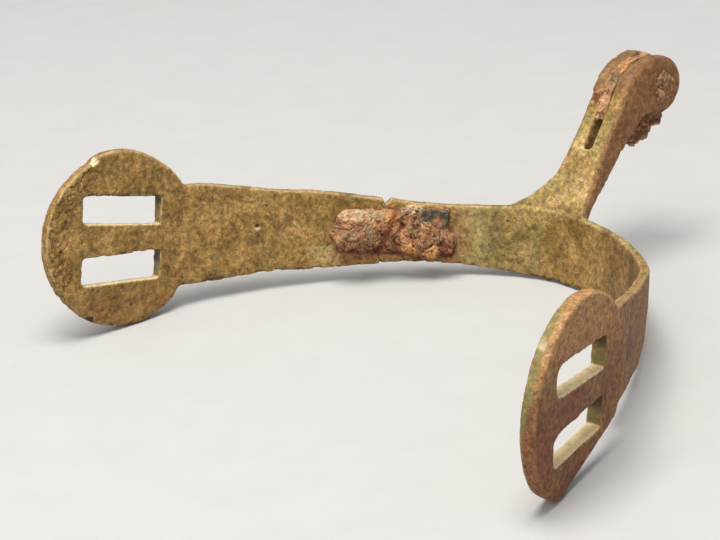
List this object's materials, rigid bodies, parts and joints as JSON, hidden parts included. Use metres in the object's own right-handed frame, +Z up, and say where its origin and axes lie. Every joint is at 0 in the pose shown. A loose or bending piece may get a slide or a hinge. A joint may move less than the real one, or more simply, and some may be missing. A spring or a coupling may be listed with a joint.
{
  "type": "rowel spur",
  "caption": "Cast copper-alloy heel spur: flat band, round slotted strap terminals, raised forked neck with a corroded iron rowel, one branch broken and bridged by an iron plate.",
  "frame": {"origin": "bottom centre of the spur's box as it lies on a table, on the rims of both terminals and the lower edge of its heel", "axes": "+X forward from the heel towards the toe, +Y across to the unbroken branch, +Z up"},
  "size_m": [0.0978, 0.1018, 0.034],
  "materials": {
    "cast_copper_alloy": "dull olive-brown patina, pitted",
    "repair_iron": "matte, heavily rusted",
    "rowel_iron": "matte, heavily rusted"
  },
  "bodies": {
    "spur": {"heel_band": "cast_copper_alloy", "far_branch": "cast_copper_alloy", "repair_plate": "repair_iron", "repair_rivet_front": "repair_iron", "repair_rivet_rear": "repair_iron", "rowel_pin": "rowel_iron"},
    "rowel": {"rowel": "rowel_iron"}
  },
  "joints": [
    {"name": "rowel_spin", "type": "hinge", "parent": "spur", "child": "rowel", "pos_m": [-0.04398, -0.00047, 0.02876], "axis": [0.0011, 1, -0.0081], "continuous": true}
  ]
}
